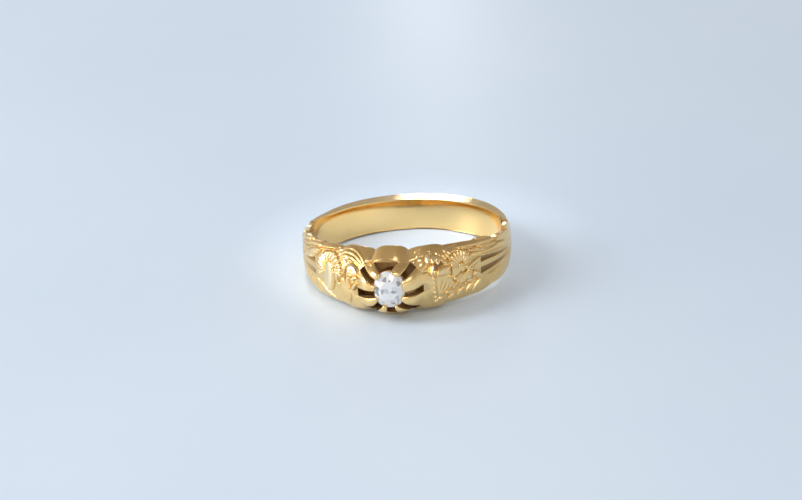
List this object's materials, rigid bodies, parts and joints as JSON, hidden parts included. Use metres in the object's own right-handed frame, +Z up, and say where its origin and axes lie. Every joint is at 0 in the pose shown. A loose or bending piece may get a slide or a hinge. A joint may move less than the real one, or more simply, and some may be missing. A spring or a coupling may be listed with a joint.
{
  "type": "engagement ring",
  "caption": "Gold engagement ring: plain tapered shank, carved shoulders and a pierced, lobed head with clawed clear stone.",
  "frame": {"origin": "centre of the object's box in plan, on the surface that the ring lies on", "axes": "+Z up, close to the finger hole's axis, which leans back about 5 degrees; the head and stone face -Y; +X is to the right of someone who faces the stone"},
  "size_m": [0.0184, 0.0226, 0.0062],
  "materials": {
    "gold": "polished yellow gold, softly worn, satin in the carving",
    "diamond": "clear, cut and polished"
  },
  "bodies": {
    "root": {"shank": "gold", "left_shoulder": "gold", "right_shoulder": "gold", "head": "gold", "collet": "gold", "claw_1": "gold", "claw_2": "gold", "claw_3": "gold", "claw_4": "gold", "claw_5": "gold", "claw_6": "gold", "claw_7": "gold", "claw_8": "gold", "diamond": "diamond"}
  },
  "joints": []
}
